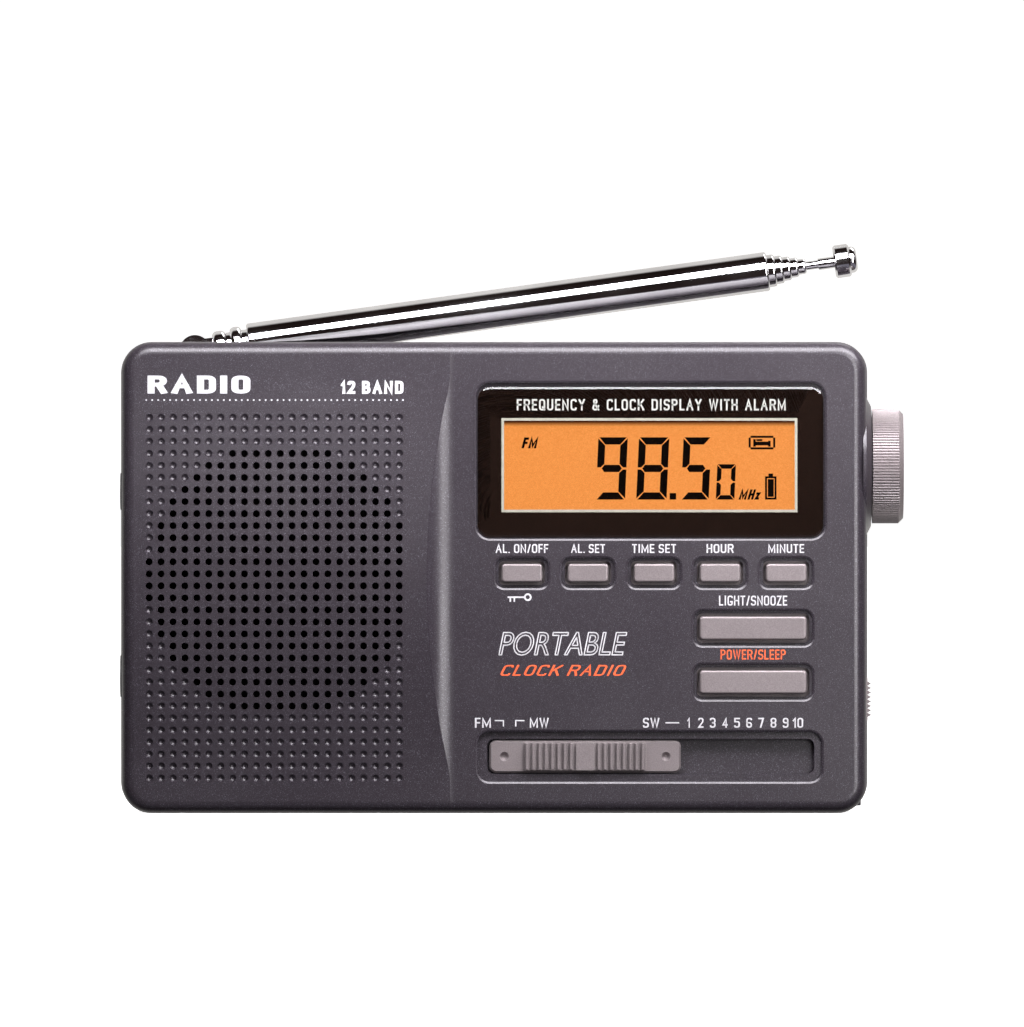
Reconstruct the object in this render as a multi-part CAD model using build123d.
"""Pocket shortwave receiver: every separate piece as its own solid, in millimetres.

Frame: X to the right and Z up as the front is seen, Y to the back, so the front faces -Y.
The origin is the middle of the flat underside, half way through the depth.
"""
from build123d import *
from math import atan2, cos, degrees, hypot, pi, radians, sin, sqrt, tan
import os

# ---------------------------------------------------------------- driving dimensions
HEIGHT = 76.1                 # case, bottom to top
DEPTH = 30.0                  # case, front of the speaker crown to the back
FRONT_WIDTH = 120.2           # front shell
REAR_WIDTH = 121.0            # rear shell, proud by a small step on each side
CORNER = 4.8                  # outline corner radius
EDGE_ROUND = 2.0              # rounding of the front and back edges
WALL = 1.8
SPLIT_Y = 3.0                 # parting plane between the shells
FRONT_Y = -DEPTH / 2
BACK_Y = DEPTH / 2
CROWN = 1.8                   # how far the speaker side bulges in front of the control panel
PANEL_Y = FRONT_Y + CROWN     # plane of the control panel
INNER_Y = PANEL_Y + WALL      # inside of the front wall
GAP = 0.15                    # sliding clearance between plastic parts
BEVEL_SLOPE = 26.0            # slope of the bevels round the recesses and the lens, in degrees

# speaker side
SPEAKER_X, SPEAKER_Z = -34.5, 37.7
SPEAKER_R = 23.0
SPEAKER_SEAT_Y = -12.2        # inside of the wall behind the grille
SPEAKER_FLANGE_Y = -10.9      # back of the basket's rim
CROWN_LOW, CROWN_HIGH = CORNER, HEIGHT - CORNER
SCOOP_X = -6.3                # where the scoop beside the speaker meets the panel
SCOOP_WIDTH = 4.5
CROWN_BASE = 0.05             # step that carries the scoop's edge to the top and bottom

# grille
GRILLE_COLS, GRILLE_ROWS = 22, 31
GRILLE_PITCH_X, GRILLE_PITCH_Z = 1.92, 1.94
GRILLE_LEFT, GRILLE_TOP = -55.6, 63.9
GRILLE_HOLE_R = 0.57
OPEN_COL, OPEN_ROW, OPEN_RADIUS = 11, 13.5, 11.25     # holes inside this circle go through
DIMPLE_R, DIMPLE_DEPTH = 0.62, 0.45

# display
LENS = (-2.6, 53.1, 44.6, 68.8)         # left, right, bottom, top
LENS_POCKET = LENS[:3] + (LENS[3] + 0.4,)
LENS_BEVEL = 0.35
LENS_POCKET_DEPTH = 1.0
LENS_PROUD = 0.7
MASK_THICK = 0.2
MASK_OPENING = (1.2, 48.95, 48.6, 63.8)
LCD = (-1.5, 51.7, 46.7, 65.7)
LCD_THICK = 1.8
LCD_FRONT_Y = INNER_Y + 0.1

# main board
BOARD = (-6.5, 51.5, 4.0, 67.5)
BOARD_FRONT_Y = -6.4
BOARD_THICK = 1.6
BOARD_BACK_Y = BOARD_FRONT_Y + BOARD_THICK
SWITCH_TIP_Y = BOARD_FRONT_Y - 2.0
STANDOFFS = [(-3.8, 41.5), (24.0, 31.0), (8.0, 17.5)]

# push buttons
SMALL_NAMES = ["alarm", "alarm_set", "time_set", "hour", "minute"]
SMALL_FIRST_X, SMALL_PITCH, SMALL_Z = 4.5, 10.66, 38.8
SMALL_CAP = (6.6, 3.0)
LARGE_CAP = (17.3, 3.8)
LARGE_X = 41.8
LARGE_ROWS = {"light_snooze": 29.9, "power_sleep": 21.2}
BUTTON_PROUD = 0.7
BUTTON_TRAVEL = 0.5
RECESS_DEPTH = 0.6
RECESS_MARGIN = 0.95                    # recess outline beyond the cap
HOLE_MARGIN = 0.45

# band switch
BAND_RECESS = (-2.7, 52.9, 5.1, 13.2)
BAND_PLATE = (-0.74, 30.15, 6.55, 11.84)
BAND_STEPS, BAND_STEP = 11, 1.927
BAND_TRAVEL = BAND_STEPS * BAND_STEP
BAND_CHANNEL = (-1.1, BAND_PLATE[1] + BAND_TRAVEL + 0.35, 6.35, 12.05)
BAND_FLOOR_Y = -10.6                    # floor of the slider's channel
BAND_GRIP_X = (BAND_PLATE[0] + BAND_PLATE[1]) / 2
BAND_STEM_X = BAND_PLATE[0] + 6.0       # near the left end, so that the plate hides the slot
BAND_STEM_Z = (BAND_PLATE[2] + BAND_PLATE[3]) / 2
BAND_GRIP = (19.74, 4.4)                # ribbed grip, along and across
BAND_DIMPLE_REACH = 13.05               # from the grip's middle to either dimple
BAND_SWITCH_Y = BOARD_FRONT_Y - 1.9
BAND_SWITCH = (BAND_STEM_X - 4.0, BAND_STEM_X + BAND_TRAVEL + 4.0, BAND_STEM_Z - 3.2, BAND_STEM_Z + 3.2)

# tuning drive, on an axis along X
TUNING_Y, TUNING_Z = -2.0, 56.05
SKIRT_R, SKIRT_HEIGHT = 11.5, 0.9
KNOB_R = 9.25
KNOB_FROM = FRONT_WIDTH / 2 + SKIRT_HEIGHT + 0.2
KNOB_TO = KNOB_FROM + 5.0
KNOB_RIDGES = 120
GEAR_MODULE = 0.4
PINION_TEETH, WHEEL_TEETH = 15, 40
GEAR_FROM, GEAR_WIDTH = 53.5, 2.0
ROTOR_Y = 3.5
ROTOR_Z = TUNING_Z - sqrt((GEAR_MODULE * (PINION_TEETH + WHEEL_TEETH) / 2) ** 2
                          - (ROTOR_Y - TUNING_Y) ** 2)
SHAFT_R = 1.5
SHAFT_REACH = 4.5                       # how far the shaft goes into the knob
TUNING_BUSH_R = 3.0
CAN_RIGHT = 51.0                        # right face of the tuning capacitor

# volume slider in the right side
VOLUME_Y, VOLUME_Z = -6.5, 18.4
VOLUME_CAP = (5.0, 6.9)                 # across and along the travel
VOLUME_DOWN, VOLUME_UP = 4.5, 11.5      # travel either way
POT_FACE_X = 57.4

# rod aerial
PIVOT = Vector(-48.6, 9.5, 74.9)
ELEVATION = 7.87                        # degrees above level, as it stands
CHANNEL_FLOOR, CHANNEL_FRONT = 71.4, 5.5
TUBE_RADII = [3.2, 2.65, 2.3, 1.95, 1.6, 1.25]
ROD_R = 0.7
TUBE_START, TUBE_END = 8.7, 94.0        # distances from the pivot along the aerial
STUB = 1.25                             # how far each closed section stands out of the last
KNUCKLE = 2.4                           # width of the aerial's flat end in the fork
PIN_R, STEM_R, BUSHING_R = 0.9, 1.6, 2.6
TUBE_FIT = 0.08                         # between one tube and the next, on the radius
CHEEK = 1.3                             # thickness of the fork's two sides

# medium-wave aerial
FERRITE = (-16.0, 44.0, 6.5, 63.6, 4.0)     # left, right, Y, Z and radius
COIL = (-2.5, 17.0)
SADDLES = (-4.8, 33.0)

# power
CELL_R, CELL_LENGTH = 7.1, 50.5
CELL_Y, CELL_ROWS = 5.0, (13.4, 28.2)
CELL_LEFT = 1.6
BAY_FRONT_Y = CELL_Y - CELL_R - 0.2     # front of the battery space
BAY = (-3.0, 55.0, 5.2, 36.4)           # inside of the battery compartment
DOOR = (-6.0, REAR_WIDTH / 2, 3.0, 38.0)
DOOR_LIP_Y = 13.85

# kickstand
STAND_LEFT, STAND_RIGHT = -50.0, -16.0
STAND_Y, STAND_HINGE_Z, STAND_TOP = 13.9, 8.0, 38.0
STAND_THICK = 1.8
STAND_PIN_R = 0.8

# sockets in the left side of the rear shell
SOCKET_Y, EARPHONE_Z, DC_Z = 7.5, 52.0, 22.0
EARPHONE_BARREL_R, DC_BARREL_R = 3.0, 3.4
FIT = 0.05                              # added to the radius of a bore round a pin or barrel

# screws through both shells
CASE_SCREWS = [(-55.8, 5.8), (-9.8, 5.8), (-55.8, 65.2), (55.8, 65.2)]
BOSS_R = 2.6
SCREW_R = 0.95
SCREW_SEAT_Y = 8.0


# ---------------------------------------------------------------- helpers
def box(x0, x1, y0, y1, z0, z1):
    """A plain block given by its limits."""
    return Pos((x0 + x1) / 2, (y0 + y1) / 2, (z0 + z1) / 2) * Box(x1 - x0, y1 - y0, z1 - z0)


def rounded(rect, y0, y1, radius, margin=0.0):
    """A block with rounded corners: rect is left, right, bottom and top in the XZ plane."""
    left, right, low, high = rect
    width = right - left + 2 * margin
    height = high - low + 2 * margin
    plane = Plane(((left + right) / 2, y0, (low + high) / 2), x_dir=(1, 0, 0), z_dir=(0, -1, 0))
    return extrude(plane * RectangleRounded(width, height, radius), y0 - y1)


def bevel_cutter(rect, radius, margin=0.0, width=0.3):
    """What a bevel of the given width takes off the panel around a recess with rounded corners."""
    left, right, low, high = rect
    depth = width * tan(radians(BEVEL_SLOPE))
    plane = Plane(((left + right) / 2, PANEL_Y + depth, (low + high) / 2), x_dir=(1, 0, 0), z_dir=(0, -1, 0))
    floor = RectangleRounded(right - left + 2 * margin, high - low + 2 * margin, radius)
    return extrude(plane * floor, 1.2 * depth, taper=BEVEL_SLOPE - 90)


def around(x, z, size):
    """The limits of a rectangle given by its middle and its size."""
    return (x - size[0] / 2, x + size[0] / 2, z - size[1] / 2, z + size[1] / 2)


def rod_x(x0, x1, y, z, radius):
    """A cylinder along X."""
    return Pos((x0 + x1) / 2, y, z) * Rot(0, 90, 0) * Cylinder(radius, x1 - x0)


def rod_y(x, z, y0, y1, radius):
    """A cylinder along Y."""
    return Pos(x, (y0 + y1) / 2, z) * Rot(90, 0, 0) * Cylinder(radius, y1 - y0)


def rod_z(x, y, z0, z1, radius):
    """A cylinder along Z."""
    return Pos(x, y, (z0 + z1) / 2) * Cylinder(radius, z1 - z0)


def cone_y(x, z, y0, y1, r0, r1):
    """A cone along Y: radius r0 at y0 and r1 at y1."""
    return Pos(x, (y0 + y1) / 2, z) * Rot(-90, 0, 0) * Cone(r0, r1, y1 - y0)


def ring_x(x0, x1, y, z, outer, inner):
    """A tube along X."""
    return rod_x(x0, x1, y, z, outer) - rod_x(x0 - 1, x1 + 1, y, z, inner)


def group(solids):
    """Separate solids kept in one node."""
    return Compound(children=list(solids))


def crown_height(z):
    """How far the speaker side stands in front of the panel at height z."""
    middle = (CROWN_LOW + CROWN_HIGH) / 2
    u = (z - middle) / ((CROWN_HIGH - CROWN_LOW) / 2)
    if abs(u) >= 1:
        return CROWN_BASE
    return CROWN_BASE + (CROWN - CROWN_BASE) * (1 - u * u) ** 2


# ---------------------------------------------------------------- shells
def outline(width, y0, y1):
    """The case's outline, drawn out along Y."""
    return rounded((-width / 2, width / 2, 0, HEIGHT), y0, y1, CORNER)


def crowned_stock():
    """Everything behind the crowned face of the speaker side, for the whole width."""
    steps = 12
    span = CROWN_HIGH - CROWN_LOW
    points = [(PANEL_Y - crown_height(CROWN_LOW + span * i / steps), CROWN_LOW + span * i / steps)
              for i in range(steps + 1)]
    face_y = PANEL_Y - CROWN_BASE
    crown = Spline(*[(0, y, z) for y, z in points], tangents=[(0, 0, 1), (0, 0, 1)])
    rest = Polyline((0, face_y, CROWN_HIGH), (0, face_y, HEIGHT + 1), (0, SPLIT_Y, HEIGHT + 1),
                    (0, SPLIT_Y, -1), (0, face_y, -1), (0, face_y, CROWN_LOW))
    profile = make_face([crown, rest])
    return extrude(Pos(-70, 0, 0) * profile, 140, dir=(1, 0, 0))


def scooped_stock():
    """Everything behind the flat panel and the scoop that rises from it to the speaker side."""
    scoop_r = (SCOOP_WIDTH ** 2 + CROWN ** 2) / (2 * CROWN)
    top_x = SCOOP_X - SCOOP_WIDTH
    half = atan2(SCOOP_WIDTH, scoop_r - CROWN) / 2
    middle = (SCOOP_X - scoop_r * sin(half), PANEL_Y - scoop_r * (1 - cos(half)))
    scoop = ThreePointArc((top_x, FRONT_Y), middle, (SCOOP_X, PANEL_Y))
    rest = Polyline((SCOOP_X, PANEL_Y), (70, PANEL_Y), (70, SPLIT_Y), (-70, SPLIT_Y),
                    (-70, FRONT_Y), (top_x, FRONT_Y))
    return extrude(Pos(0, 0, -1) * make_face([scoop, rest]), HEIGHT + 2, dir=(0, 0, 1))


def front_stock():
    """The front shell's outer form, solid, with its front edges rounded."""
    body = outline(FRONT_WIDTH, FRONT_Y, SPLIT_Y) & crowned_stock() & scooped_stock()
    side = FRONT_WIDTH / 2

    def on_rim(edge):
        """True for an edge between the front and the outline."""
        spot = edge.center()
        in_front = all(v.Y < PANEL_Y + 0.01 for v in edge.vertices())
        past_corner = abs(spot.X) > side - CORNER and abs(spot.Z - HEIGHT / 2) > HEIGHT / 2 - CORNER + 0.1
        at_border = abs(spot.X) > side - 0.01 or abs(spot.Z - HEIGHT / 2) > HEIGHT / 2 - 0.01
        return in_front and (past_corner or at_border)

    return fillet(body.edges().filter_by(on_rim), EDGE_ROUND)


def knob_skirt(x_case):
    """The low cone on the case around the tuning knob."""
    cone = Pos(x_case + SKIRT_HEIGHT / 2, TUNING_Y, TUNING_Z) * Rot(0, 90, 0)
    cone *= Cone(SKIRT_R, KNOB_R + 0.5, SKIRT_HEIGHT)
    root = rod_x(x_case - 0.5, x_case, TUNING_Y, TUNING_Z, SKIRT_R)
    return cone + root


def grille_cutters():
    """The holes and dimples of the speaker grille, apart from each other."""
    holes = []
    for col in range(GRILLE_COLS):
        for row in range(GRILLE_ROWS):
            x = GRILLE_LEFT + col * GRILLE_PITCH_X
            z = GRILLE_TOP - row * GRILLE_PITCH_Z
            face_y = PANEL_Y - crown_height(z)
            if hypot(col - OPEN_COL, row - OPEN_ROW) < OPEN_RADIUS:
                holes.append(rod_y(x, z, face_y - 0.8, SPEAKER_SEAT_Y + 0.2, GRILLE_HOLE_R))
            else:
                holes.append(Pos(x, face_y + DIMPLE_DEPTH - DIMPLE_R, z) * Sphere(DIMPLE_R))
    return holes


def button_places():
    """Each push button's name, middle and cap size."""
    places = {}
    for i, name in enumerate(SMALL_NAMES):
        places[name] = (SMALL_FIRST_X + i * SMALL_PITCH, SMALL_Z, SMALL_CAP)
    for name, z in LARGE_ROWS.items():
        places[name] = (LARGE_X, z, LARGE_CAP)
    return places


def button_cutters():
    """The recess and the hole that each push button stands in."""
    cutters = []
    for x, z, cap in button_places().values():
        spot = around(x, z, cap)
        cutters.append(rounded(spot, PANEL_Y - 1, PANEL_Y + RECESS_DEPTH, 1.4, RECESS_MARGIN))
        cutters.append(bevel_cutter(spot, 1.4, RECESS_MARGIN))
        cutters.append(rounded(spot, PANEL_Y, INNER_Y + 1, 0.9, HOLE_MARGIN))
    return cutters


def front_case():
    """The front shell: crowned grille, panel, display pocket, recesses, bosses and standoffs."""
    side = FRONT_WIDTH / 2
    body = front_stock() + (knob_skirt(side) & box(0, 70, FRONT_Y, SPLIT_Y, 0, HEIGHT))
    cavity = rounded((-side + WALL, side - WALL, WALL, HEIGHT - WALL), INNER_Y, SPLIT_Y + 1, 3.0)
    seat = rod_y(SPEAKER_X, SPEAKER_Z, SPEAKER_SEAT_Y, INNER_Y + 0.5, SPEAKER_R + GAP)
    body = body - [cavity, seat]

    channel_back = rounded(BAND_CHANNEL, INNER_Y - 0.2, BAND_FLOOR_Y + 1.0, 2.0, 1.2)
    bosses = [rod_y(x, z, INNER_Y - 0.2, SPLIT_Y, BOSS_R) for x, z in CASE_SCREWS]
    standoffs = [rod_y(x, z, INNER_Y - 0.2, BOARD_FRONT_Y, 2.0) for x, z in STANDOFFS]
    speaker_posts = [rod_y(x, z, INNER_Y - 0.2, SPEAKER_FLANGE_Y, 1.6) for x, z in speaker_screw_places()]
    body = body + [channel_back] + bosses + standoffs + speaker_posts

    screw_holes = [rod_y(x, z, -6.0, SPLIT_Y + 1, SCREW_R + FIT) for x, z in CASE_SCREWS]
    small_holes = [rod_y(x, z, INNER_Y + 0.6, BOARD_FRONT_Y + 1, 0.6) for x, z in STANDOFFS]
    small_holes += [rod_y(x, z, INNER_Y - 0.6, SPEAKER_FLANGE_Y + 1, 0.6) for x, z in speaker_screw_places()]
    lens_pocket = rounded(LENS_POCKET, PANEL_Y - 1, PANEL_Y + LENS_POCKET_DEPTH, 2.3, 2 * GAP)
    window = rounded(MASK_OPENING, PANEL_Y, INNER_Y + 1, 0.8, 1.0)
    band_recess = rounded(BAND_RECESS, PANEL_Y - 1, PANEL_Y + 0.8, 2.0)
    bevels = [bevel_cutter(BAND_RECESS, 2.0), bevel_cutter(LENS_POCKET, 2.3, 2 * GAP)]
    band_channel = rounded(BAND_CHANNEL, PANEL_Y, BAND_FLOOR_Y, 1.2)
    band_slot = box(BAND_STEM_X - 1.7, BAND_STEM_X + 1.7 + BAND_TRAVEL, BAND_FLOOR_Y - 1,
                    BAND_FLOOR_Y + 2, BAND_STEM_Z - 0.8, BAND_STEM_Z + 0.8)
    shaft_hole = rod_x(side - 10, side + 2, TUNING_Y, TUNING_Z, TUNING_BUSH_R + FIT)
    body = body - (screw_holes + small_holes + [lens_pocket, window, band_recess, band_channel,
                                                band_slot, shaft_hole] + bevels + button_cutters())
    body = body - volume_cutters(side)
    return body - grille_cutters()


def volume_track(margin):
    """Limits in Y and Z of the space that the volume cap sweeps, with a margin."""
    half_y = VOLUME_CAP[0] / 2 + margin
    half_z = VOLUME_CAP[1] / 2 + margin
    return (VOLUME_Y - half_y, VOLUME_Y + half_y,
            VOLUME_Z - VOLUME_DOWN - half_z, VOLUME_Z + VOLUME_UP + half_z)


def volume_cutters(side):
    """The recess in the right side and the slot in its floor."""
    y0, y1, z0, z1 = volume_track(0.3)
    recess = box(side - 0.9, side + 2, y0, y1, z0, z1)
    slot = box(side - 3, side, VOLUME_Y - 0.9, VOLUME_Y + 0.9,
               VOLUME_Z - VOLUME_DOWN - 1.4, VOLUME_Z + VOLUME_UP + 1.4)
    return [recess, slot]


def speaker_screw_places():
    """The four screws around the speaker's rim."""
    reach = SPEAKER_R + 2.1
    return [(SPEAKER_X + reach * cos(radians(a)), SPEAKER_Z + reach * sin(radians(a)))
            for a in (40, 140, 220, 320)]


def rear_stock():
    """The rear shell's outer form, with the aerial's channel cut along its top."""
    side = REAR_WIDTH / 2
    body = outline(REAR_WIDTH, SPLIT_Y, BACK_Y)
    body = fillet(body.faces().sort_by(Axis.Y)[-1].edges(), EDGE_ROUND)
    channel = box(-side - 1, side + 1, CHANNEL_FRONT, BACK_Y + 1, CHANNEL_FLOOR, HEIGHT + 1)
    return body - channel


def stand_recess():
    """The pocket in the back that the kickstand folds into."""
    return box(STAND_LEFT - 0.4, STAND_RIGHT + 0.4, STAND_Y - 1.5, BACK_Y + 1,
               STAND_HINGE_Z - 1.6, STAND_TOP + 0.5)


def rear_case():
    """The rear shell: aerial channel, battery compartment, door track, stand pocket and bosses."""
    side = REAR_WIDTH / 2
    skirt = knob_skirt(FRONT_WIDTH / 2) & box(side, 70, SPLIT_Y, BACK_Y, 0, HEIGHT)
    wall = WALL + 0.2
    main = rounded((-side + wall, side - wall, wall, CHANNEL_FLOOR - WALL), SPLIT_Y - 1, BACK_Y - wall, 3.0)
    top = rounded((-side + wall, side - wall, CHANNEL_FLOOR - 12, HEIGHT - wall), SPLIT_Y - 1,
                  CHANNEL_FRONT - WALL, 3.0)
    body = (rear_stock() + skirt) - [main, top]

    stand_pad = box(STAND_LEFT - 2.4, STAND_RIGHT + 2.4, STAND_Y - 3.1, BACK_Y - 1,
                    STAND_HINGE_Z - 3.6, STAND_TOP + 2.5)
    bay = rounded(BAY, BAY_FRONT_Y - 1.2, DOOR_LIP_Y - 1.1, 1.5, 1.2)
    bay_feet = box(BAY[0] - 1.2, side - 1, SPLIT_Y, DOOR_LIP_Y - 1.1, 1.0, BAY[2])
    bay_cheek = box(BAY[1], side - 1, DOOR_LIP_Y - 3.6, DOOR_LIP_Y - 1.1, 1.0, BAY[3] + 1.2)
    bosses = [rod_y(x, z, SPLIT_Y, BACK_Y - 1, BOSS_R + 0.6) for x, z in CASE_SCREWS]
    aerial_boss = rod_z(PIVOT.X, PIVOT.Y, CHANNEL_FLOOR - 3.5, CHANNEL_FLOOR - 1, 4.2) \
        & box(-70, 0, SPLIT_Y, BACK_Y - 1, 0, HEIGHT)
    body = body + [stand_pad, bay, bay_feet, bay_cheek, aerial_boss] + bosses

    bay_space = rounded(BAY, BAY_FRONT_Y, BACK_Y + 2, 1.0)
    tongue = box(DOOR[0] - GAP, side + 1, DOOR_LIP_Y - 1.05, DOOR_LIP_Y + 0.05,
                 DOOR[2] - 1 - GAP, DOOR[3] + 1 + GAP)
    opening = box(DOOR[0] - GAP, side + 1, DOOR_LIP_Y - 0.5, BACK_Y + 2, DOOR[2] - GAP, DOOR[3] + GAP)
    pin_bore = rod_x(STAND_LEFT - 1.9, STAND_RIGHT + 1.9, STAND_Y, STAND_HINGE_Z, STAND_PIN_R)
    nail_notch = rod_y((STAND_LEFT + STAND_RIGHT) / 2, STAND_TOP + 0.5, STAND_Y - 1.5, BACK_Y + 1, 4.0)
    nail_notch = nail_notch & box(-60, 0, 0, BACK_Y + 1, STAND_TOP, HEIGHT)
    screws = [rod_y(x, z, SPLIT_Y - 1, SCREW_SEAT_Y + 1, SCREW_R + 0.3) for x, z in CASE_SCREWS]
    wells = [rod_y(x, z, SCREW_SEAT_Y, BACK_Y + 1, 2.2) for x, z in CASE_SCREWS]
    stem = rod_z(PIVOT.X, PIVOT.Y, CHANNEL_FLOOR - 6, CHANNEL_FLOOR + 1, BUSHING_R)
    sockets = [rod_x(-side - 1, -side + 5, SOCKET_Y, z, barrel_r + FIT)
               for z, barrel_r in ((EARPHONE_Z, EARPHONE_BARREL_R), (DC_Z, DC_BARREL_R))]
    return body - ([bay_space, tongue, opening, stand_recess(), pin_bore, nail_notch, stem]
                   + screws + wells + sockets)


def battery_door():
    """The sliding door: it fills its opening in the back, with a tongue under each edge."""
    side = REAR_WIDTH / 2
    plate = box(DOOR[0], side + 1, DOOR_LIP_Y, BACK_Y + 1, DOOR[2], DOOR[3]) & rear_stock()
    tongue = box(DOOR[0], side, DOOR_LIP_Y - 0.95, DOOR_LIP_Y, DOOR[2] - 1, DOOR[3] + 1) & rear_stock()
    grips = [box(48 + i * 1.5, 48.8 + i * 1.5, BACK_Y - 0.5, BACK_Y + 1, 16.5, 24.5) for i in range(5)]
    return (plate + tongue) - grips


# ---------------------------------------------------------------- display
def lens():
    """The clear window plate with bevelled edges, standing a little proud of the panel."""
    back_y = PANEL_Y + LENS_POCKET_DEPTH - MASK_THICK
    plate = rounded(LENS, PANEL_Y - LENS_PROUD, back_y, 2.0)
    face = plate.faces().sort_by(Axis.Y)[0]
    return chamfer(face.edges(), LENS_BEVEL, LENS_BEVEL * tan(radians(BEVEL_SLOPE)), reference=face)


def mask():
    """The black film behind the window plate, with the opening for the display."""
    back_y = PANEL_Y + LENS_POCKET_DEPTH
    film = rounded(LENS, back_y - MASK_THICK, back_y, 2.0)
    return film - rounded(MASK_OPENING, back_y - 1, back_y + 1, 0.4)


def lcd_glass():
    """The display's two glass plates as one sandwich; the rear plate is shorter at the bottom."""
    left, right, low, high = LCD
    half = LCD_THICK / 2
    front = box(left, right, LCD_FRONT_Y, LCD_FRONT_Y + half, low, high)
    rear = box(left, right, LCD_FRONT_Y + half, LCD_FRONT_Y + LCD_THICK, low + 1.6, high)
    return front + rear


def lcd_backlight():
    """The light guide behind the display, with its lamp block at the right end."""
    left, right, low, high = LCD
    y0 = LCD_FRONT_Y + LCD_THICK
    guide = box(left, right - 2.5, y0, y0 + 1.8, low + 1.8, high - 0.6)
    lamp = box(right - 2.5, right - 0.5, y0, y0 + 1.8, low + 4, high - 3)
    return guide + lamp


def lcd_holder():
    """The white frame that clips the display, light guide and rubber strip to the board."""
    left, right, low, high = LCD
    outer = box(left - 1.4, right + 0.6, LCD_FRONT_Y + 0.2, BOARD_FRONT_Y, low - 1.4, high + 1.2)
    stack = box(left - 0.1, right + 0.1, LCD_FRONT_Y - 1, LCD_FRONT_Y + LCD_THICK, low - 0.1, high + 0.1)
    guide = box(left, right - 0.5, LCD_FRONT_Y, LCD_FRONT_Y + LCD_THICK + 1.8, low + 1.8, high - 0.6)
    strip = box(left + 2, right - 2, LCD_FRONT_Y, BOARD_FRONT_Y + 1, low, low + 1.4)
    return outer - [stack, guide, strip]


def zebra_strip():
    """The rubber contact strip between the display's lower edge and the board."""
    left, right, low, _ = LCD
    return box(left + 2.2, right - 2.2, LCD_FRONT_Y + LCD_THICK / 2, BOARD_FRONT_Y, low + 0.1, low + 1.3)


# ---------------------------------------------------------------- board
def main_board():
    """The circuit board, screwed to the front shell's standoffs."""
    plate = rounded(BOARD, BOARD_FRONT_Y, BOARD_BACK_Y, 1.0)
    holes = [rod_y(x, z, BOARD_FRONT_Y - 1, BOARD_BACK_Y + 1, 0.8) for x, z in STANDOFFS]
    boss = rod_y(*CASE_SCREWS[1], BOARD_FRONT_Y - 1, BOARD_BACK_Y + 1, BOSS_R + 0.4)
    return plate - (holes + [boss])


def on_board_back(x, z, width, height, tall):
    """A block standing on the back of the board."""
    left, right, low, high = around(x, z, (width, height))
    return box(left, right, BOARD_BACK_Y, BOARD_BACK_Y + tall, low, high)


def board_chips():
    """Two moulded chips on the back of the board, each with its row of legs."""
    chips = []
    for x, z, width, height in ((2.0, 61.5, 10.0, 7.0), (-0.5, 46.5, 8.0, 5.4)):
        body = on_board_back(x, z, width, height, 2.0)
        count = int(width / 1.27) - 1
        for i in range(count):
            leg_x = x + (i - (count - 1) / 2) * 1.27
            body = body + on_board_back(leg_x, z, 0.4, height + 2.0, 0.5)
        chips.append(body)
    return group(chips)


def shield_cans():
    """Four tuned-coil cans, each with its adjusting slug."""
    cans = []
    for x, z in ((12.0, 53.5), (20.5, 53.5), (12.0, 44.5), (20.5, 44.5)):
        can = on_board_back(x, z, 7.0, 7.0, 7.5)
        bore = rod_y(x, z, BOARD_BACK_Y + 6.0, BOARD_BACK_Y + 9.0, 1.8)
        slug = rod_y(x, z, BOARD_BACK_Y + 5.5, BOARD_BACK_Y + 6.8, 1.8)
        slot = box(x - 1.3, x + 1.3, BOARD_BACK_Y + 6.3, BOARD_BACK_Y + 9, z - 0.25, z + 0.25)
        cans.append((can - bore) + (slug - slot))
    return group(cans)


def board_capacitors():
    """Round electrolytic capacitors standing on the back of the board."""
    parts = []
    for x, z, radius, tall in ((28.5, 44.0, 2.5, 7.0), (28.5, 50.5, 2.5, 7.0), (27.5, 56.0, 2.0, 6.0),
                               (5.0, 52.0, 2.0, 6.0)):
        can = rod_y(x, z, BOARD_BACK_Y, BOARD_BACK_Y + tall, radius)
        parts.append(chamfer(can.faces().sort_by(Axis.Y)[-1].edges(), 0.3))
    return group(parts)


# ---------------------------------------------------------------- buttons
def push_button(x, z, cap):
    """A cap with rounded edges, a lip that keeps it in, and a stem that ends short of its switch."""
    front_y = PANEL_Y - BUTTON_PROUD
    spot = around(x, z, cap)
    body = rounded(spot, front_y, INNER_Y + 0.2, 0.6)
    body = fillet(body.faces().sort_by(Axis.Y)[0].edges(), 0.35)
    lip = rounded(spot, INNER_Y + 0.1, INNER_Y + 1.0, 0.6, HOLE_MARGIN + 0.4)
    stem = rod_y(x, z, INNER_Y + 0.5, SWITCH_TIP_Y - BUTTON_TRAVEL - 0.1, 1.2)
    return body + lip + stem


def tact_switches():
    """The seven small push switches on the front of the board, one under each cap."""
    parts = []
    for x, z, _ in button_places().values():
        base = box(x - 2, x + 2, BOARD_FRONT_Y - 1.4, BOARD_FRONT_Y, z - 1.9, z + 1.9)
        parts.append(base + rod_y(x, z, SWITCH_TIP_Y, BOARD_FRONT_Y - 1, 0.9))
    return group(parts)


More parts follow.
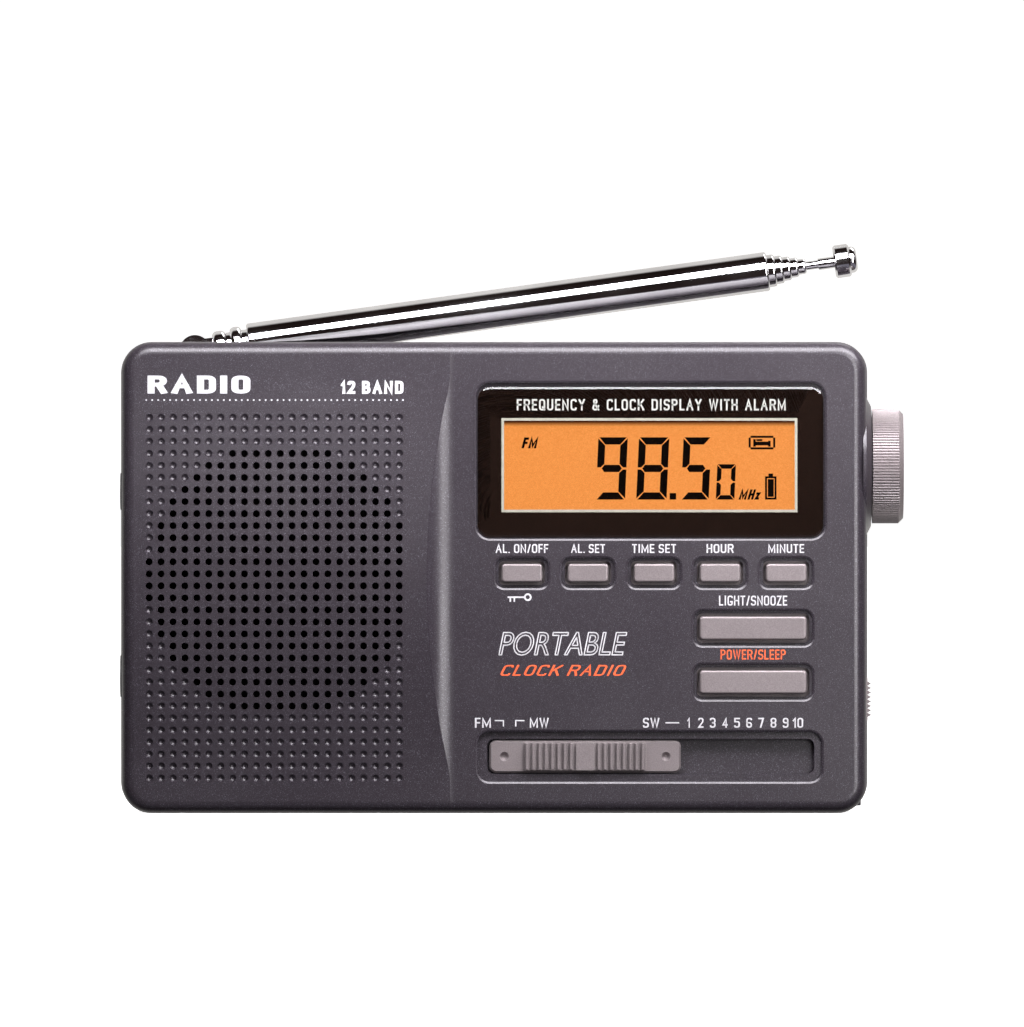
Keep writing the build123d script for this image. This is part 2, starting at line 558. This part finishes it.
# ---------------------------------------------------------------- band switch
def band_slider():
    """The long slide: plate, ribbed grip with a plain centre, two dimples and a fork behind."""
    plate_y = PANEL_Y + 0.9
    plate = rounded(BAND_PLATE, plate_y, BAND_FLOOR_Y - GAP, 1.1)
    plate = chamfer(plate.faces().sort_by(Axis.Y)[0].edges(), 0.3)
    grip_rect = around(BAND_GRIP_X, BAND_STEM_Z, BAND_GRIP)
    grip = rounded(grip_rect, PANEL_Y + 0.45, plate_y + 0.3, 0.3)
    centre_half, count = 1.45, 8
    pitch = (BAND_GRIP[0] / 2 - centre_half) / (count + 0.25)
    centre = around(BAND_GRIP_X, BAND_STEM_Z, (2 * centre_half, BAND_GRIP[1]))
    ribs = [rounded(centre, PANEL_Y - 0.3, PANEL_Y + 0.6, 0.3)]
    for side in (-1, 1):
        for i in range(count):
            x = BAND_GRIP_X + side * (centre_half + (i + 0.75) * pitch)
            rib = box(x - 0.27, x + 0.27, PANEL_Y - 0.3, PANEL_Y + 0.6, grip_rect[2], grip_rect[3])
            ribs.append(chamfer(rib.faces().sort_by(Axis.Y)[0].edges(), 0.12))
    dimples = [cone_y(BAND_GRIP_X + side * BAND_DIMPLE_REACH, BAND_STEM_Z, plate_y - 0.1, plate_y + 0.6,
                      0.85, 0.2) for side in (-1, 1)]
    stem = box(BAND_STEM_X - 1.4, BAND_STEM_X + 1.4, BAND_FLOOR_Y - 0.5, BAND_SWITCH_Y - 0.1,
               BAND_STEM_Z - 0.6, BAND_STEM_Z + 0.6)
    fork = box(BAND_STEM_X - 0.5, BAND_STEM_X + 0.5, BAND_SWITCH_Y - 0.8, BAND_SWITCH_Y, 0, HEIGHT)
    return (plate + [grip] + ribs + [stem]) - (dimples + [fork])


def band_switch():
    """The band switch's body on the board, with a slot for its slider."""
    body = rounded(BAND_SWITCH, BAND_SWITCH_Y, BOARD_FRONT_Y, 0.4)
    slot = box(BAND_STEM_X - 1.6, BAND_STEM_X + BAND_TRAVEL + 1.6, BAND_SWITCH_Y - 1, BOARD_FRONT_Y - 0.6,
               BAND_STEM_Z - 0.9, BAND_STEM_Z + 0.9)
    return body - slot


def band_actuator():
    """The band switch's own slider, whose blade stands in the fork of the long slide."""
    block = box(BAND_STEM_X - 1.4, BAND_STEM_X + 1.4, BAND_SWITCH_Y, BOARD_FRONT_Y - 0.7,
                BAND_STEM_Z - 0.7, BAND_STEM_Z + 0.7)
    blade = box(BAND_STEM_X - 0.5, BAND_STEM_X + 0.5, BAND_SWITCH_Y - 0.8, BAND_SWITCH_Y,
                BAND_STEM_Z - 0.6, BAND_STEM_Z + 0.6)
    return block + blade


# ---------------------------------------------------------------- volume control
def volume_slider():
    """The ribbed volume cap in the right side, with the stem that goes through the slot."""
    side = FRONT_WIDTH / 2
    half_y, half_z = VOLUME_CAP[0] / 2, VOLUME_CAP[1] / 2
    base = box(side - 0.75, side + 0.25, VOLUME_Y - half_y, VOLUME_Y + half_y,
               VOLUME_Z - half_z, VOLUME_Z + half_z)
    count = 8
    pitch = VOLUME_CAP[1] * 0.84 / count
    tips = []
    for i in range(count):
        z = VOLUME_Z + (i - (count - 1) / 2) * pitch
        tooth = Polyline((side + 0.2, 0, z - pitch / 2), (side + 0.85, 0, z), (side + 0.2, 0, z + pitch / 2),
                         close=True)
        tips.append(extrude(Pos(0, VOLUME_Y - half_y, 0) * make_face(tooth), VOLUME_CAP[0], dir=(0, 1, 0)))
    stem = box(side - 2.0, side - 0.6, VOLUME_Y - 0.7, VOLUME_Y + 0.7, VOLUME_Z - 1.2, VOLUME_Z + 1.2)
    return base + tips + [stem]


def volume_pot():
    """The slide control's metal body, open along its outer face."""
    _, _, z0, z1 = volume_track(1.5)
    body = box(BOARD[1], POT_FACE_X, VOLUME_Y - 2.6, VOLUME_Y + 2.6, z0, z1)
    track = box(BOARD[1] + 1.2, POT_FACE_X + 1, VOLUME_Y - 1.2, VOLUME_Y + 1.2,
                VOLUME_Z - VOLUME_DOWN - 1.7, VOLUME_Z + VOLUME_UP + 1.7)
    return body - track


def volume_wiper():
    """The slide control's wiper, which the volume cap's stem carries along."""
    return box(BOARD[1] + 1.5, FRONT_WIDTH / 2 - 2.0, VOLUME_Y - 0.9, VOLUME_Y + 0.9,
               VOLUME_Z - 1.4, VOLUME_Z + 1.4)


# ---------------------------------------------------------------- tuning drive
def tuning_knob():
    """The knob: fine straight knurling, a bevel at its outer end and a bore for the shaft."""
    bevel = 0.8
    groove_angle = 2 * pi / KNOB_RIDGES
    root_r = KNOB_R - 0.2
    points = []
    for i in range(KNOB_RIDGES):
        for part, radius in ((0.0, root_r), (0.3, KNOB_R), (0.7, KNOB_R)):
            angle = (i + part) * groove_angle
            points.append((radius * cos(angle), radius * sin(angle)))
    length = KNOB_TO - KNOB_FROM
    body = extrude(make_face(Polyline(*points, close=True)), length)
    envelope = chamfer(Cylinder(KNOB_R + 0.01, length).faces().sort_by(Axis.Z)[-1].edges(), bevel)
    body = body & (Pos(0, 0, length / 2) * envelope)
    hub_length = KNOB_FROM - FRONT_WIDTH / 2 - 0.3
    hub = Pos(0, 0, -hub_length / 2) * Cylinder(2.6, hub_length)
    bore = Pos(0, 0, (SHAFT_REACH - hub_length) / 2) * Cylinder(SHAFT_R, SHAFT_REACH + hub_length)
    body = (body + hub) - bore
    return Pos(KNOB_FROM, TUNING_Y, TUNING_Z) * Rot(0, 90, 0) * body


def tuning_shaft():
    """The knob's shaft, running through its bushing to the pinion."""
    return rod_x(GEAR_FROM - 2.0, KNOB_FROM + SHAFT_REACH, TUNING_Y, TUNING_Z, SHAFT_R)


def tuning_bushing():
    """The flanged bushing in the case's side."""
    side = FRONT_WIDTH / 2
    body = rod_x(side - WALL, side, TUNING_Y, TUNING_Z, TUNING_BUSH_R)
    flange = rod_x(side - WALL - 0.8, side - WALL, TUNING_Y, TUNING_Z, 4.2)
    return (body + flange) - rod_x(side - 10, side + 1, TUNING_Y, TUNING_Z, SHAFT_R + FIT)


def gear(teeth, width, bore_r):
    """A spur gear standing on the XY plane, with one tooth on +X and involute flanks."""
    pitch_r = GEAR_MODULE * teeth / 2
    base_r = pitch_r * cos(radians(20))
    tip_r = pitch_r + 0.9 * GEAR_MODULE
    root_r = pitch_r - 1.25 * GEAR_MODULE
    backlash = 0.05
    half_tooth = pi / (2 * teeth) - backlash / pitch_r + tan(radians(20)) - radians(20)
    start_r = max(base_r, root_r)
    flank = []
    for step in range(5):
        radius = start_r + (tip_r - start_r) * step / 4
        roll = sqrt(max((radius / base_r) ** 2 - 1, 0))
        flank.append((radius, half_tooth - (roll - atan2(roll, 1))))
    points = []
    for i in range(teeth):
        middle = 2 * pi * i / teeth
        points.append((root_r, middle - half_tooth))
        points += [(radius, middle - angle) for radius, angle in flank if radius > root_r]
        points += [(radius, middle + angle) for radius, angle in reversed(flank) if radius > root_r]
        points.append((root_r, middle + half_tooth))
    corners = [(radius * cos(angle), radius * sin(angle)) for radius, angle in points]
    body = extrude(make_face(Polyline(*corners, close=True)), width)
    return body - Pos(0, 0, width / 2) * Cylinder(bore_r, width + 2)


def meshed(body, y, z, turn):
    """Stands a gear on its shaft along X, turned so that its first tooth points turn degrees up from +Y."""
    return Pos(GEAR_FROM, y, z) * Rot(turn, 0, 0) * Rot(0, 90, 0) * Rot(0, 0, 90) * body


def mesh_angle():
    """The direction from the pinion's axis to the wheel's, in degrees from +Y towards +Z."""
    return degrees(atan2(ROTOR_Z - TUNING_Z, ROTOR_Y - TUNING_Y))


def tuning_pinion():
    """The small gear on the knob's shaft, with a tooth towards the wheel."""
    return meshed(gear(PINION_TEETH, GEAR_WIDTH, SHAFT_R), TUNING_Y, TUNING_Z, mesh_angle())


def capacitor_gear():
    """The large gear on the capacitor's shaft, with a tooth space towards the pinion."""
    space = 180.0 / WHEEL_TEETH
    body = gear(WHEEL_TEETH, GEAR_WIDTH, SHAFT_R)
    web = Pos(0, 0, GEAR_WIDTH) * (Cylinder(6.2, 1.2) - Cylinder(3.0, 1.2))
    return meshed(body - web, ROTOR_Y, ROTOR_Z, mesh_angle() + 180.0 + space)


def capacitor_shaft():
    """The capacitor's rotor shaft."""
    return rod_x(CAN_RIGHT - 8.0, GEAR_FROM + GEAR_WIDTH + 0.6, ROTOR_Y, ROTOR_Z, SHAFT_R)


def tuning_capacitor():
    """The variable capacitor's plastic block, with a bore for its shaft and four trimmers on top."""
    body = box(CAN_RIGHT - 17, CAN_RIGHT, BOARD_BACK_Y, BOARD_BACK_Y + 14, ROTOR_Z - 8.0, ROTOR_Z + 8.4)
    bore = rod_x(CAN_RIGHT - 8.5, CAN_RIGHT + 1, ROTOR_Y, ROTOR_Z, SHAFT_R + FIT)
    trimmers = [rod_y(CAN_RIGHT - 8.5 + dx, ROTOR_Z + dz, BOARD_BACK_Y + 13.4, BOARD_BACK_Y + 15, 1.9)
                for dx in (-4.5, 4.5) for dz in (-4.5, 4.5)]
    return body - ([bore] + trimmers)


# ---------------------------------------------------------------- speaker
def spun(points, x, z):
    """A solid turned about the speaker's axis: points are radius and Y."""
    outline_wire = Polyline(*[(radius, y, 0) for radius, y in points], close=True)
    return Pos(x, 0, z) * revolve(make_face(outline_wire), Axis.Y, 360)


def speaker_frame():
    """The pressed steel basket: rim, sloping wall with six windows, and the back plate."""
    rim_y = SPEAKER_FLANGE_Y - 0.8
    profile = [(20.3, rim_y), (SPEAKER_R, rim_y), (SPEAKER_R, SPEAKER_FLANGE_Y), (21.5, SPEAKER_FLANGE_Y),
               (14.0, -4.0), (2.0, -4.0), (2.0, -4.8), (13.5, -4.8), (20.3, SPEAKER_FLANGE_Y - 0.2)]
    body = spun(profile, SPEAKER_X, SPEAKER_Z)
    windows = []
    for i in range(6):
        angle = 30 + 60 * i
        window = Pos(16.8, 0, 0) * Rot(90, 0, 0) * Cylinder(2.7, 30)
        windows.append(Pos(SPEAKER_X, -7.0, SPEAKER_Z) * Rot(0, angle, 0) * window)
    ears = [rod_y(x, z, SPEAKER_FLANGE_Y, SPEAKER_FLANGE_Y + 0.6, 3.0)
            for x, z in speaker_screw_places()]
    holes = [rod_y(x, z, SPEAKER_FLANGE_Y - 1, SPEAKER_FLANGE_Y + 1, 0.8) for x, z in speaker_screw_places()]
    return (body + ears) - (windows + holes)


def speaker_cone():
    """The paper cone with its rolled edge, and the dome in its middle."""
    rim_y = SPEAKER_FLANGE_Y - 0.9
    profile = [(22.0, rim_y), (22.0, rim_y - 0.3), (19.6, rim_y - 0.3), (18.0, rim_y - 0.2), (7.2, -6.3),
               (5.0, -7.2), (0.0, -7.9), (0.0, -7.5), (4.8, -6.8), (7.0, -5.7), (7.4, -5.7),
               (17.9, rim_y + 0.4), (19.4, rim_y)]
    return spun(profile, SPEAKER_X, SPEAKER_Z)


def speaker_magnet():
    """The ring magnet with its steel plates behind the basket."""
    body = rod_y(SPEAKER_X, SPEAKER_Z, -4.0, 3.0, 12.0)
    plate = rod_y(SPEAKER_X, SPEAKER_Z, 3.0, 4.2, 11.0)
    body = body + plate
    return chamfer(body.edges().filter_by(GeomType.CIRCLE).sort_by(Axis.Y)[-1], 0.4)


def speaker_cloth():
    """The thin black cloth disc between the grille and the speaker."""
    return rod_y(SPEAKER_X, SPEAKER_Z, SPEAKER_SEAT_Y, SPEAKER_SEAT_Y + 0.1, SPEAKER_R - 0.2)


# ---------------------------------------------------------------- medium-wave aerial
def ferrite_rod():
    """The ferrite rod across the top of the rear shell."""
    left, right, y, z, radius = FERRITE
    return rod_x(left, right, y, z, radius)


def ferrite_coil():
    """The coil wound on a paper sleeve around the rod."""
    _, _, y, z, radius = FERRITE
    return ring_x(*COIL, y, z, radius + 0.8, radius + 0.05)


def ferrite_supports():
    """Two saddles between the board and the rod."""
    _, _, y, z, radius = FERRITE
    saddles = []
    for x in SADDLES:
        post = box(x - 1.5, x + 1.5, BOARD_BACK_Y, y + 1.5, z - radius - 1.6, z)
        saddles.append(post - rod_x(x - 2, x + 2, y, z, radius + 0.02))
    return group(saddles)


# ---------------------------------------------------------------- rod aerial
def along_aerial(body):
    """Lays a body that was made along +X from the pivot onto the aerial's line."""
    return Pos(PIVOT) * Rot(0, -ELEVATION, 0) * body


def aerial_rod(x0, x1, radius):
    """A cylinder along the aerial, before it is laid on its line."""
    return Pos((x0 + x1) / 2, 0, 0) * Rot(0, 90, 0) * Cylinder(radius, x1 - x0)


def antenna_tube():
    """The aerial's base: knuckle, neck, two collars with thin rings, and the widest tube."""
    knuckle = Rot(90, 0, 0) * Cylinder(2.5, KNUCKLE)
    neck = Pos(2.0, 0, 0) * Box(3.0, KNUCKLE, 3.4)
    collars = [aerial_rod(3.0, 5.3, 2.65), aerial_rod(5.9, 7.9, 2.95)]
    collars = [fillet(collar.edges().filter_by(GeomType.CIRCLE), 0.8) for collar in collars]
    rings = [aerial_rod(5.3, 5.9, 2.2), aerial_rod(7.9, TUBE_START, 2.3)]
    tube = aerial_rod(TUBE_START, TUBE_END, TUBE_RADII[0])
    tube = fillet(tube.edges().filter_by(GeomType.CIRCLE), 0.4)
    bore = aerial_rod(TUBE_START + 1.0, TUBE_END + 1, TUBE_RADII[1] + TUBE_FIT)
    pin = Rot(90, 0, 0) * Cylinder(PIN_R + FIT, KNUCKLE + 1)
    return along_aerial((knuckle + [neck, tube] + collars + rings) - [bore, pin])


def antenna_section(index):
    """One of the sliding tubes: it ends a little outside the one around it."""
    start = TUBE_START + 1.2 + 0.5 * index
    end = TUBE_END + STUB * index
    radius = TUBE_RADII[index]
    body = aerial_rod(start, end, radius)
    body = fillet(body.edges().filter_by(GeomType.CIRCLE).sort_by(Axis.X)[-1], 0.4)
    inner = TUBE_RADII[index + 1] if index + 1 < len(TUBE_RADII) else ROD_R
    return along_aerial(body - aerial_rod(start + 0.4, end + 1, inner + TUBE_FIT))


def antenna_rod():
    """The thin last rod, thickened where it carries the tip."""
    start = TUBE_START + 1.2 + 0.5 * len(TUBE_RADII)
    end = TUBE_END + STUB * (len(TUBE_RADII) - 1)
    return along_aerial(aerial_rod(start, end + 2.0, ROD_R) + aerial_rod(end + 2.0, end + 4.6, 0.95))


def antenna_tip():
    """The tip: a grooved button with a smaller domed cap."""
    start = TUBE_END + STUB * (len(TUBE_RADII) - 1) + 4.6
    body = aerial_rod(start, start + 2.6, 2.7)
    body = chamfer(body.edges().filter_by(GeomType.CIRCLE), 0.3)
    cap = aerial_rod(start + 2.6, start + 3.7, 2.15)
    cap = fillet(cap.edges().filter_by(GeomType.CIRCLE).sort_by(Axis.X)[-1], 0.8)
    return along_aerial(body + cap)


def antenna_swivel():
    """The fork that the aerial tilts in, turning on its stem."""
    cheek = Rot(90, 0, 0) * Cylinder(2.5, CHEEK) + Pos(0, 0, -1.6) * Box(4.0, CHEEK, 2.6)
    cheeks = [Pos(0, side * (KNUCKLE + CHEEK + 0.2) / 2, 0) * cheek for side in (-1, 1)]
    foot_z = CHANNEL_FLOOR + 0.15 - PIVOT.Z
    foot = Pos(0, 0, foot_z + 0.3) * Cylinder(3.0, 0.6)
    stem = Pos(0, 0, foot_z - 3.5) * Cylinder(STEM_R, 7.0)
    pin_hole = Rot(90, 0, 0) * Cylinder(PIN_R, 12)
    return Pos(PIVOT) * ((foot + cheeks + [stem]) - [pin_hole])


def antenna_pin():
    """The pivot pin with a head at the front and a riveted end at the back."""
    reach = KNUCKLE / 2 + 0.1 + CHEEK
    body = Rot(90, 0, 0) * Cylinder(PIN_R, 2 * reach)
    heads = [Pos(0, side * (reach + 0.2), 0) * Rot(90, 0, 0) * Cylinder(1.5, 0.4) for side in (-1, 1)]
    return Pos(PIVOT) * (body + heads)


def antenna_bushing():
    """The metal bushing that the fork's stem turns in, with its nut below the channel floor."""
    top = CHANNEL_FLOOR
    low = CHANNEL_FLOOR - 5.8
    body = rod_z(PIVOT.X, PIVOT.Y, low, top, BUSHING_R)
    nut_plane = Plane((PIVOT.X, PIVOT.Y, low), z_dir=(0, 0, 1))
    nut = extrude(nut_plane * RegularPolygon(3.2, 6), 2.0)
    return (body + nut) - rod_z(PIVOT.X, PIVOT.Y, low - 1, top + 1, STEM_R + FIT)


# ---------------------------------------------------------------- sockets
def socket(z, barrel_r, bore_r, depth):
    """A panel socket in the left side: barrel through the wall, block behind it, and its bore."""
    left = -REAR_WIDTH / 2
    barrel = rod_x(left - 0.2, left + 2.5, SOCKET_Y, z, barrel_r)
    block = box(left + 2.0, left + 13.0, SOCKET_Y - 3.3, SOCKET_Y + 2.9, z - 3.9, z + 3.9)
    return (barrel + block) - rod_x(left - 1, left + depth, SOCKET_Y, z, bore_r)


def earphone_jack():
    """The 3.5 mm earphone socket."""
    return socket(EARPHONE_Z, EARPHONE_BARREL_R, 1.8, 11.0)


def dc_jack():
    """The power socket, with its centre pin."""
    left = -REAR_WIDTH / 2
    pin = rod_x(left + 1.0, left + 9.5, SOCKET_Y, DC_Z, 0.65)
    return socket(DC_Z, DC_BARREL_R, 2.0, 9.0) + pin


# ---------------------------------------------------------------- battery compartment
def battery_cells():
    """Two AA cells, lying side by side and pointing opposite ways."""
    cells = []
    for z, toward in zip(CELL_ROWS, (1, -1)):
        body = chamfer(rod_x(CELL_LEFT, CELL_LEFT + CELL_LENGTH - 1.2, CELL_Y, z, CELL_R)
                       .edges().filter_by(GeomType.CIRCLE), 0.6)
        nub = rod_x(CELL_LEFT + CELL_LENGTH - 1.5, CELL_LEFT + CELL_LENGTH, CELL_Y, z, 2.6)
        cell = body + nub
        if toward < 0:
            cell = mirror(cell, Plane((CELL_LEFT + CELL_LENGTH / 2, 0, 0), z_dir=(1, 0, 0)))
        cells.append(cell)
    return group(cells)


def battery_contacts():
    """A spring and a plate for each cell, set in the compartment's end walls."""
    thick = 0.4
    cell_ends = (CELL_LEFT, CELL_LEFT + CELL_LENGTH)
    parts = []
    for z, toward in zip(CELL_ROWS, (1, -1)):
        flat_end, nub_end = cell_ends[::toward]
        spring_wall, nub_wall = BAY[:2][::toward]
        for wall, inward in ((nub_wall, -toward), (spring_wall, toward)):
            x0, x1 = sorted((wall, wall + inward * thick))
            parts.append(box(x0, x1, CELL_Y - 5, CELL_Y + 5, z - 5.5, z + 5.5))
        x0, x1 = sorted((nub_wall - toward * thick, nub_end))
        parts[-2] = parts[-2] + rod_x(x0, x1, CELL_Y, z, 2.4)
        parts.append(contact_spring(spring_wall + toward * thick, flat_end, z))
    return group(parts)


def contact_spring(x0, x1, z):
    """A short stack of wire rings that stands for the pressed coil spring."""
    low, high = sorted((x0, x1))
    turns = 4
    wire = (high - low) / (2 * turns)
    rings = [Pos(low + wire * (2 * i + 1), CELL_Y, z) * Rot(0, 90, 0) * Torus(3.0, wire * 1.03)
             for i in range(turns)]
    return (rings[0] + rings[1:]) & box(low, high, CELL_Y - 5, CELL_Y + 5, z - 5, z + 5)


# ---------------------------------------------------------------- kickstand
def kickstand():
    """The folding leg, rounded about its hinge, with a finger ridge near its free end."""
    half = STAND_THICK / 2
    leg = box(STAND_LEFT, STAND_RIGHT, STAND_Y - half, STAND_Y + half, STAND_HINGE_Z, STAND_TOP)
    leg = leg + rod_x(STAND_LEFT, STAND_RIGHT, STAND_Y, STAND_HINGE_Z, STAND_PIN_R + 0.7)
    bore = rod_x(STAND_LEFT - 1, STAND_RIGHT + 1, STAND_Y, STAND_HINGE_Z, STAND_PIN_R + FIT)
    middle = (STAND_LEFT + STAND_RIGHT) / 2
    hollow = box(STAND_LEFT + 5, STAND_RIGHT - 5, STAND_Y + half - 0.6, STAND_Y + half + 1,
                 STAND_HINGE_Z + 6, STAND_TOP - 7)
    ridges = [box(middle - 5, middle + 5, STAND_Y + half - 0.4, STAND_Y + half + 1,
                  STAND_TOP - 5 + i * 1.4, STAND_TOP - 4.4 + i * 1.4) for i in range(3)]
    return leg - ([bore, hollow] + ridges)


def kickstand_pin():
    """The hinge pin, held by the rear shell at both ends."""
    return rod_x(STAND_LEFT - 1.8, STAND_RIGHT + 1.8, STAND_Y, STAND_HINGE_Z, STAND_PIN_R)


# ---------------------------------------------------------------- screws
def screw_y(x, z, seat_y, length, radius, head_r, head):
    """A cross-head screw pointing to the front, with its head behind seat_y."""
    shank = rod_y(x, z, seat_y - length, seat_y + 0.1, radius)
    top = rod_y(x, z, seat_y, seat_y + head, head_r)
    top = fillet(top.edges().filter_by(GeomType.CIRCLE).sort_by(Axis.Y)[-1], head * 0.3)
    arms = [box(x - a, x + a, seat_y + head - 0.5, seat_y + head + 1, z - b, z + b)
            for a, b in ((head_r * 0.6, 0.2), (0.2, head_r * 0.6))]
    return (shank + top) - arms


def case_screws():
    """The four long screws that hold the two shells together."""
    return group([screw_y(x, z, SCREW_SEAT_Y, 13.0, SCREW_R, 1.9, 1.4) for x, z in CASE_SCREWS])


def small_screws():
    """The short screws of the board and the speaker."""
    board = [screw_y(x, z, BOARD_BACK_Y, 4.5, 0.55, 1.4, 0.8) for x, z in STANDOFFS]
    speaker = [screw_y(x, z, SPEAKER_FLANGE_Y + 0.6, 1.5, 0.55, 1.4, 0.8) for x, z in speaker_screw_places()]
    return group(board + speaker)


# ---------------------------------------------------------------- all the pieces
def pieces():
    """Every node's name and its solid."""
    parts = {
        "front_case": front_case(),
        "rear_case": rear_case(),
        "battery_door": battery_door(),
        "display_lens": lens(),
        "display_mask": mask(),
        "lcd_glass": lcd_glass(),
        "lcd_backlight": lcd_backlight(),
        "lcd_holder": lcd_holder(),
        "zebra_strip": zebra_strip(),
        "main_board": main_board(),
        "board_chips": board_chips(),
        "shield_cans": shield_cans(),
        "board_capacitors": board_capacitors(),
        "tact_switches": tact_switches(),
        "band_slider": band_slider(),
        "band_switch": band_switch(),
        "band_actuator": band_actuator(),
        "volume_slider": volume_slider(),
        "volume_pot": volume_pot(),
        "volume_wiper": volume_wiper(),
        "tuning_knob": tuning_knob(),
        "tuning_shaft": tuning_shaft(),
        "tuning_bushing": tuning_bushing(),
        "tuning_pinion": tuning_pinion(),
        "capacitor_gear": capacitor_gear(),
        "capacitor_shaft": capacitor_shaft(),
        "tuning_capacitor": tuning_capacitor(),
        "speaker_frame": speaker_frame(),
        "speaker_cone": speaker_cone(),
        "speaker_magnet": speaker_magnet(),
        "speaker_cloth": speaker_cloth(),
        "ferrite_rod": ferrite_rod(),
        "ferrite_coil": ferrite_coil(),
        "ferrite_supports": ferrite_supports(),
        "antenna_swivel": antenna_swivel(),
        "antenna_pin": antenna_pin(),
        "antenna_bushing": antenna_bushing(),
        "antenna_tube": antenna_tube(),
        "antenna_rod": antenna_rod(),
        "antenna_tip": antenna_tip(),
        "earphone_jack": earphone_jack(),
        "dc_jack": dc_jack(),
        "battery_cells": battery_cells(),
        "battery_contacts": battery_contacts(),
        "kickstand": kickstand(),
        "kickstand_pin": kickstand_pin(),
        "case_screws": case_screws(),
        "small_screws": small_screws(),
    }
    for name, (x, z, cap) in button_places().items():
        parts["button_" + name] = push_button(x, z, cap)
    for index in range(1, len(TUBE_RADII)):
        parts[f"antenna_section_{index + 1}"] = antenna_section(index)
    return parts


os.makedirs("parts", exist_ok=True)
for node, solid in pieces().items():
    solid.label = node
    export_step(solid, f"parts/{node}.step")
    print(node, len(solid.solids()), round(solid.volume, 1))
